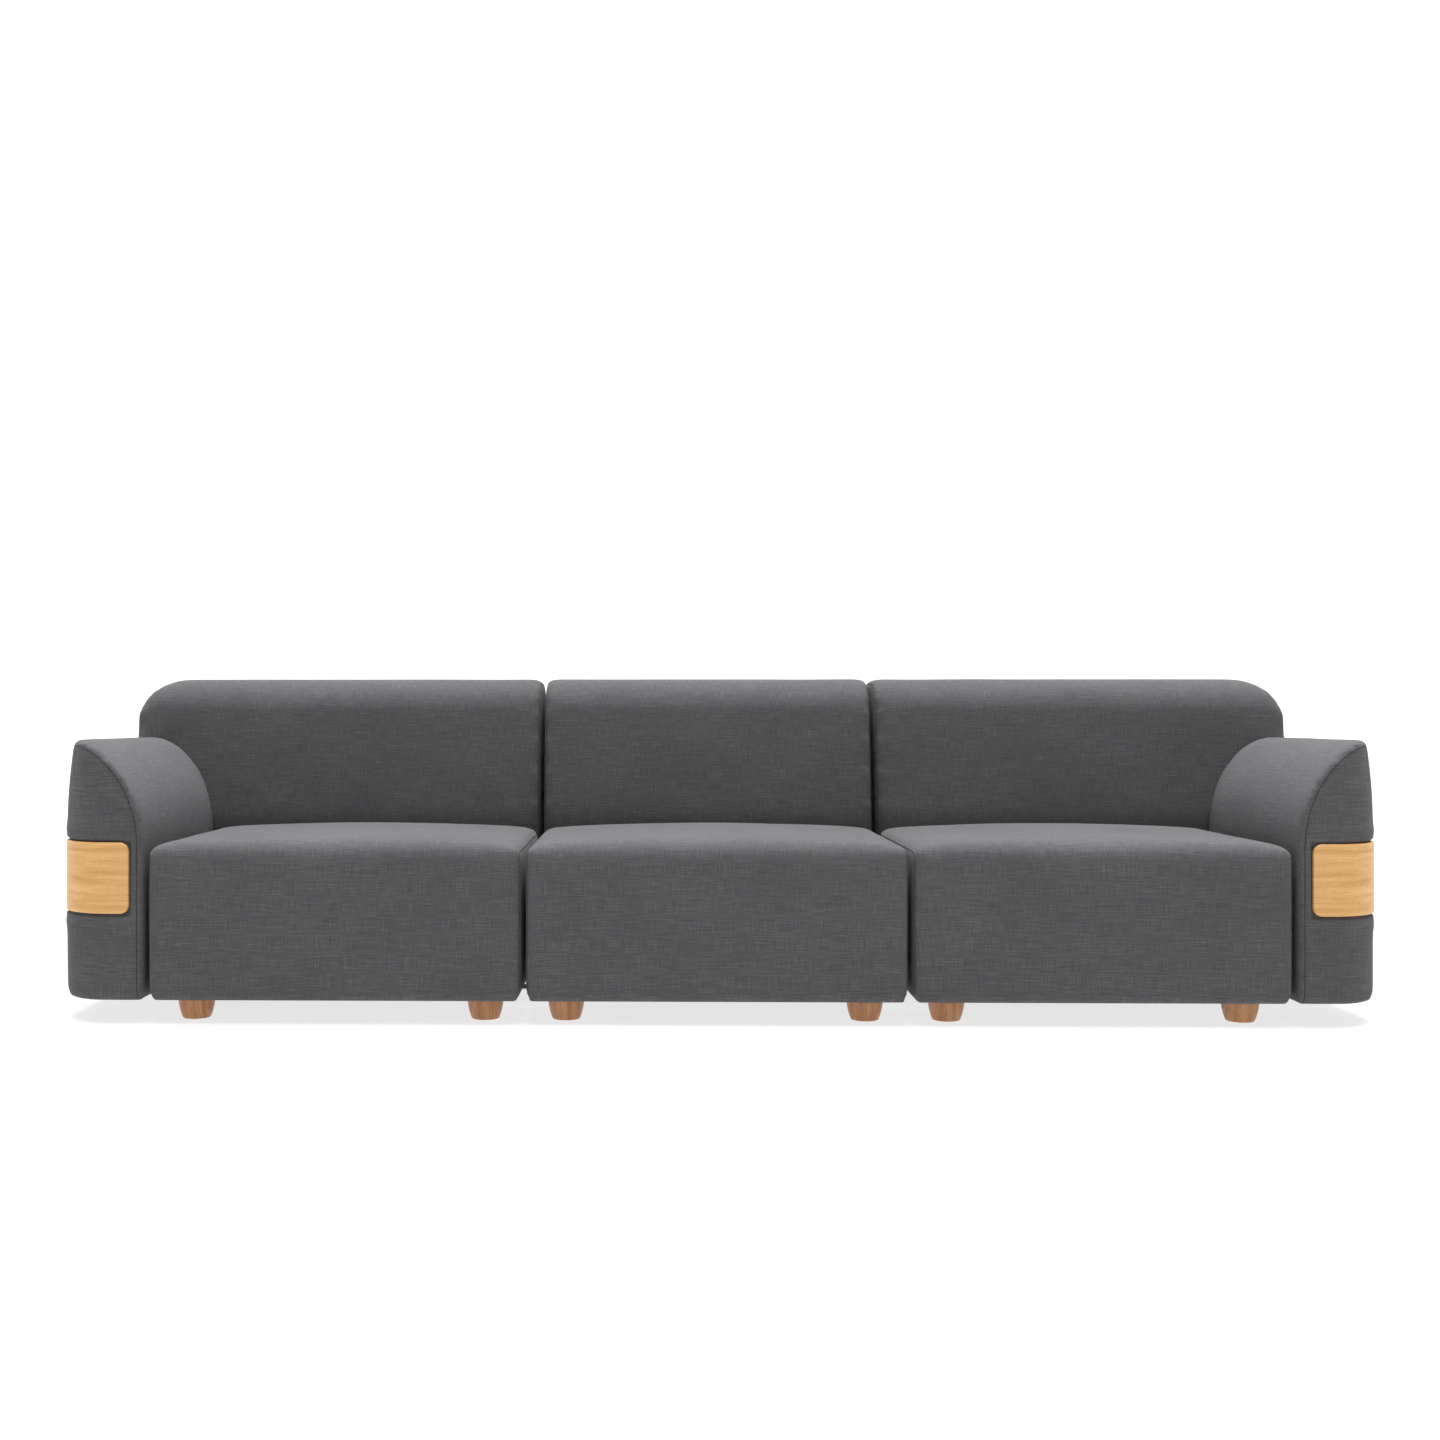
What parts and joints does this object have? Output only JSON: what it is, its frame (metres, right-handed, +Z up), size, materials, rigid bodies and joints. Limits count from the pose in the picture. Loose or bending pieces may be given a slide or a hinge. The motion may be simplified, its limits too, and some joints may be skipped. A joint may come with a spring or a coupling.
{
  "type": "modular sofa",
  "caption": "Modular fabric sofa with block seats and backs, curved arms wrapped by bent oak bands, and low turned wooden feet.",
  "frame": {"origin": "on the floor, under the middle of the whole sofa's box", "axes": "+X along the sofa to the right of someone sitting on it facing away from the back's rear, that is to the viewer's right from the front; +Y from the front to the rear; +Z up. The front faces -Y"},
  "size_m": [3.008, 0.888, 0.79],
  "materials": {
    "upholstery": "dark grey melange weave with slubs, matt",
    "light_oak": "light oak, satin oil, grain along the band",
    "foot_oak": "turned oak, reddish brown satin stain",
    "plywood": "raw birch plywood and pine, sanded",
    "foam": "open-cell upholstery foam, matt",
    "webbing": "elastic woven webbing",
    "dust_cloth": "black spunbond cloth, matt",
    "zinc_steel": "bright zinc plate"
  },
  "bodies": {
    "centre_module": {"centre_back_bolts": "zinc_steel", "centre_back_cover": "upholstery", "centre_back_foam": "foam", "centre_back_frame": "plywood", "centre_dust_cover": "dust_cloth", "centre_foot_nuts": "zinc_steel", "centre_foot_studs": "zinc_steel", "centre_front_left_foot": "foot_oak", "centre_front_right_foot": "foot_oak", "centre_rear_left_foot": "foot_oak", "centre_rear_right_foot": "foot_oak", "centre_seat_cover": "upholstery", "centre_seat_foam": "foam", "centre_seat_frame": "plywood", "centre_seat_webbing": "webbing", "centre_tongues": "zinc_steel"},
    "left_module": {"left_arm_bolts": "zinc_steel", "left_arm_cover": "upholstery", "left_arm_foam": "foam", "left_arm_frame": "plywood", "left_back_bolts": "zinc_steel", "left_back_cover": "upholstery", "left_back_foam": "foam", "left_back_frame": "plywood", "left_band_screws": "zinc_steel", "left_dust_cover": "dust_cloth", "left_foot_nuts": "zinc_steel", "left_foot_studs": "zinc_steel", "left_front_inner_foot": "foot_oak", "left_front_outer_foot": "foot_oak", "left_keepers": "zinc_steel", "left_rear_inner_foot": "foot_oak", "left_rear_outer_foot": "foot_oak", "left_seat_cover": "upholstery", "left_seat_foam": "foam", "left_seat_frame": "plywood", "left_seat_webbing": "webbing", "left_wood_band": "light_oak"},
    "right_module": {"right_arm_bolts": "zinc_steel", "right_arm_cover": "upholstery", "right_arm_foam": "foam", "right_arm_frame": "plywood", "right_back_bolts": "zinc_steel", "right_back_cover": "upholstery", "right_back_foam": "foam", "right_back_frame": "plywood", "right_band_screws": "zinc_steel", "right_dust_cover": "dust_cloth", "right_foot_nuts": "zinc_steel", "right_foot_studs": "zinc_steel", "right_front_inner_foot": "foot_oak", "right_front_outer_foot": "foot_oak", "right_keepers": "zinc_steel", "right_rear_inner_foot": "foot_oak", "right_rear_outer_foot": "foot_oak", "right_seat_cover": "upholstery", "right_seat_foam": "foam", "right_seat_frame": "plywood", "right_seat_webbing": "webbing", "right_wood_band": "light_oak"}
  },
  "joints": [
    {"name": "left_module_lift", "type": "slide", "parent": "centre_module", "child": "left_module", "axis": [0, 0, 1], "range_m": [0, 0.04]},
    {"name": "right_module_lift", "type": "slide", "parent": "centre_module", "child": "right_module", "axis": [0, 0, 1], "range_m": [0, 0.04]}
  ]
}
